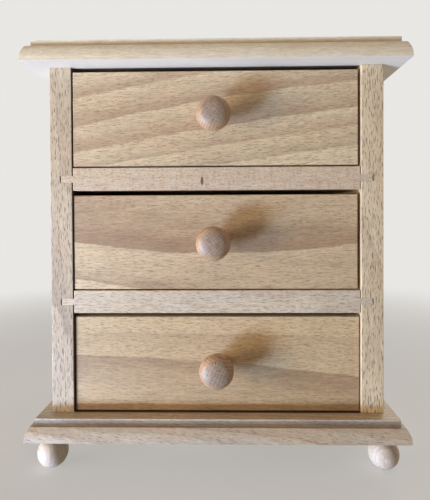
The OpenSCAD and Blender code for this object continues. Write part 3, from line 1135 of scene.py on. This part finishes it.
# The pale and the dark of each piece's wood
KNOB_PALE, KNOB_DARK = srgb(212, 176, 134), srgb(146, 108, 76)
FOOT_PALE, FOOT_DARK = srgb(236, 228, 214), srgb(194, 174, 150)
LEFT_PALE, LEFT_DARK = srgb(222, 206, 174), srgb(160, 138, 114)
RIGHT_PALE, RIGHT_DARK = srgb(254, 238, 198), srgb(196, 172, 136)
TOP_PALE, TOP_DARK = srgb(252, 246, 217), srgb(226, 211, 176)
BASE_PALE, BASE_DARK = srgb(220, 208, 180), srgb(160, 140, 116)
UPPER_PALE, UPPER_DARK = srgb(230, 215, 186), srgb(190, 168, 140)
LOWER_PALE, LOWER_DARK = srgb(235, 226, 198), srgb(186, 164, 138)
FRONT_TONES = {
    "top": (srgb(244, 228, 184), srgb(186, 160, 127)),
    "middle": (srgb(244, 224, 180), srgb(163, 134, 101)),
    "bottom": (srgb(231, 207, 158), srgb(158, 128, 93)),
}

PLATE_RAYS = (DASHES, SPECKS)
PANEL_RAYS = (POST_DASHES, POST_SPECKS)
TOP_PLATE_CUT = Cut("X", 0, 60, 4.0, 0.01, 1.3, TOP_PALE, TOP_DARK, 0.4, (FAINT,))
BASE_PLATE_CUT = Cut("X", -0.16, 15, 3.4, 0.05, 2.9, BASE_PALE, BASE_DARK, 0.6, PLATE_RAYS)
LEFT_PANEL_CUT = Cut("Z", 0, 80, 3.6, 0.03, 5.1, LEFT_PALE, LEFT_DARK, 0.5, PANEL_RAYS)
RIGHT_PANEL_CUT = Cut("Z", 0, 98, 3.2, -0.02, 6.7, RIGHT_PALE, RIGHT_DARK, 0.5, PANEL_RAYS)
UPPER_SHELF_CUT = Cut("X", 0, 88, 5.0, 0.01, 8.2, UPPER_PALE, UPPER_DARK, 0.2, (SILK, TICKS))
LOWER_SHELF_CUT = Cut("X", -0.07, 5, 4.4, 0.02, 9.6, LOWER_PALE, LOWER_DARK, 0.4, PLATE_RAYS)

# How each board of the case was cut, and its slot
CASE_BOARDS = {
    "base_plate": (BASE_PLATE_CUT, "beech_plates"),
    "top_plate": (TOP_PLATE_CUT, "beech_plates"),
    "left_side_panel": (LEFT_PANEL_CUT, "beech_panels"),
    "right_side_panel": (RIGHT_PANEL_CUT, "beech_panels"),
    "upper_shelf": (UPPER_SHELF_CUT, "beech_shelves"),
    "lower_shelf": (LOWER_SHELF_CUT, "beech_shelves"),
}
SHELVES = ("upper_shelf", "lower_shelf")
FEET = ("front_left_foot", "front_right_foot", "back_left_foot", "back_right_foot")

# The painted shade: how far it goes into the wood, its strength, how far behind the case's front the top
# plate's starts, how much of the moulding's step is left without it under its arris, and its strength on
# the rest
SHADE_DEEP = 0.4 * MM
SHADE_STRENGTH = 0.9
ROOF_AFTER = 2 * MM
STEP_LIT = 0.9 * MM
STEP_SHADE_STRENGTH = {"base_plate": 0.85, "top_plate": 0.3}


def painted_shade(low, high):
    """Painted shade between two corners."""
    return PaintedShade(low, high, SHADE_STRENGTH, PAINTED_SHADE)


def painted_step_shade(node):
    """Painted shade on the step of a plate's moulding, apart from its arris."""
    low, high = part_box(node)
    start = (low.x, low.y, high.z - TIER_STEP)
    return PaintedShade(start, (high.x, high.y, high.z - STEP_LIT), STEP_SHADE_STRENGTH[node], STEP_SHADE)


def case_painted_shade():
    """Painted shade just inside the case's mouth, and on the steps of the plates' moulding."""
    low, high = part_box("left_side_panel")[0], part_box("right_side_panel")[1]
    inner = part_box("right_side_panel")[0].x
    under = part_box("top_plate")[0].z
    roof = painted_shade((-inner, low.y + ROOF_AFTER, under - CLEAR), (inner, high.y, under + SHADE_DEEP))
    sole = painted_shade((-inner, low.y, low.z - SHADE_DEEP), (inner, high.y, low.z + CLEAR))
    wall = painted_shade((-inner - SHADE_DEEP, low.y - CLEAR, low.z), (-inner + CLEAR, high.y, high.z))
    return {
        "top_plate": (roof, painted_step_shade("top_plate")),
        "base_plate": (sole, painted_step_shade("base_plate")),
        "left_side_panel": (wall,),
    }


def marks_on(node, marks, colour):
    """Marks on the front face of a node, each with its place in mm."""
    low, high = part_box(node)
    middle = (low + high) / 2 / MM
    return [((middle.x + x, low.y / MM, middle.z + z), radius, colour) for x, z, radius in marks]


def case():
    # Painted shade just inside the case's mouth and on the plates' moulding
    painted_shades = case_painted_shade()
    spots = {"upper_shelf": marks_on("upper_shelf", (SHELF_MARK,), KNOT)}
    low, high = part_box("top_plate")
    # Painted light: the top plate's underside is made paler, as if lit from below
    under = (low.x - CLEAR, low.y - CLEAR, low.z - CLEAR), (high.x, high.y, low.z + SHADE_EDGE * MM)
    painted_light = {"top_plate": under}
    boards = {
        "base_plate": base_plate(),
        "top_plate": top_plate(),
        "left_side_panel": side_panel("left_side_panel", -1),
        "right_side_panel": side_panel("right_side_panel", 1),
        **repeated(shelf, SHELVES),
    }
    for node, piece in boards.items():
        cut, slot = CASE_BOARDS[node]
        # dark is each board's painted shade
        dark, marks = painted_shades.get(node, ()), spots.get(node, ())
        paint(piece, beech(f"{node}_beech", cut, spots=marks, painted_shades=dark, painted_light=painted_light.get(node)))
        set_in(piece, node)
    panel = back_panel()
    paint(panel, plywood("back_plywood", "Z", 3.3))
    set_in(panel, "back_panel")
    for number, (node, piece) in enumerate(repeated(foot, FEET).items()):
        turn = FOOT_TURN + FOOT_TURN_STEP * number
        cut = Cut("Z", 0, turn, 2.2, 0.02, 11.7 + number, FOOT_PALE, FOOT_DARK, 0.5, (FAINT,))
        paint(piece, beech(f"{node}_beech", cut, roughness=0.65, coat_roughness=0.6))
        set_in(piece, node)


def finish_front(name, number):
    """Makes a drawer front with its bands, and painted shade along the edge that lies in a gap."""
    node = f"{name}_drawer_front"
    low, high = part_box(node)
    middle, half_width = (low + high) / 2, (high.x - low.x) / 2
    bands, side = FRONT_BANDS[name]
    pale, dark = FRONT_TONES[name]
    cut = Cut("X", GRAIN_SLOPE[name], 8, 3.0, 0.0, 21.3 + number, pale, dark, 0.0, PLATE_RAYS)
    # Painted shade on the top drawer's lower edge and the bottom drawer's upper edge, inside the gaps
    edges = {
        "top": (painted_shade(low, (high.x, high.y, low.z + SHADE_DEEP)),),
        "middle": (),
        "bottom": (painted_shade((low.x, low.y, high.z - SHADE_DEEP), high),),
    }
    piece = drawer_front(name)
    paint(piece, beech(
        f"{name}_front_beech",
        cut,
        tone=lambda works, axes, cut: band_tone(works, bands, middle, half_width, side),
        spots=marks_on(node, FRONT_MARKS[name], SCUFF),
        painted_shades=edges[name],
    ))
    set_in(piece, node)


def finish_box(name, number, sides):
    """Makes a drawer's back and floor, and finishes them and its sides."""
    for hand in HANDS:
        node = f"{name}_drawer_{hand}_side"
        seed = 31.3 + number + (hand == "left") * 0.5
        cut = Cut("Y", 0, 70, 3.2, 0.04, seed, PALE, DARK, 0.6, (BOX_DASHES,))
        paint(sides[node], beech(f"{name}_{hand}_side_beech", cut, roughness=0.6))
        set_in(sides[node], node)
    back = drawer_back(name)
    back_cut = Cut("X", 0, 10, 3.4, 0.03, 41.3 + number, PALE, DARK, 0.6, (BOX_DASHES,))
    paint(back, beech(f"{name}_back_beech", back_cut, roughness=0.6))
    set_in(back, f"{name}_drawer_back")
    sheet = drawer_floor(name)
    paint(sheet, plywood(f"{name}_floor_plywood", "Y", 51.3 + number))
    set_in(sheet, f"{name}_drawer_floor")


def finish_knob(name, number, knobs):
    node = f"{name}_drawer_knob"
    piece = knobs[node]
    seed = 61.3 + number
    cut = Cut("Y", 0, KNOB_TURN[name], 1.6, 0.02, seed, KNOB_PALE, KNOB_DARK, 0.9, (SPECKS,))
    marks = marks_on(node, KNOB_MARKS[name], SPLIT)
    paint(piece, beech(f"{name}_knob_beech", cut, coat_roughness=0.5, spots=marks, face=KNOB_FACE_AND_SHEEN))
    set_in(piece, node)


def drawers():
    sides = {}
    for hand in HANDS:
        sides |= repeated(drawer_side, [f"{name}_drawer_{hand}_side" for name in DRAWERS])
    knobs = repeated(knob, [f"{name}_drawer_knob" for name in DRAWERS])
    for number, name in enumerate(DRAWERS):
        finish_front(name, number)
        finish_box(name, number, sides)
        finish_knob(name, number, knobs)


def fixings():
    """The screws, pins and dowels keep their solids and get their finish."""
    steel = zinc_steel()
    for node in ("base_screws", "back_pins"):
        paint(frame["nodes"][node], steel)
    for name in DRAWERS:
        for kind in ("knob_screw", "pins"):
            paint(frame["nodes"][f"{name}_drawer_{kind}"], steel)
    dowel_cut = Cut("Z", 0, 20, 2.0, 0.02, 71.3, PALE, DARK, 0.4, (SPECKS,))
    dowels = beech("dowel_beech", dowel_cut, roughness=0.6)
    for node in ("foot_dowels", "top_dowels"):
        paint(frame["nodes"][node], dowels)


camera()
case()
drawers()
fixings()
floor()
for lamp in LAMPS:
    hang(lamp)
world()
bpy.context.scene.view_settings.view_transform = "Standard"
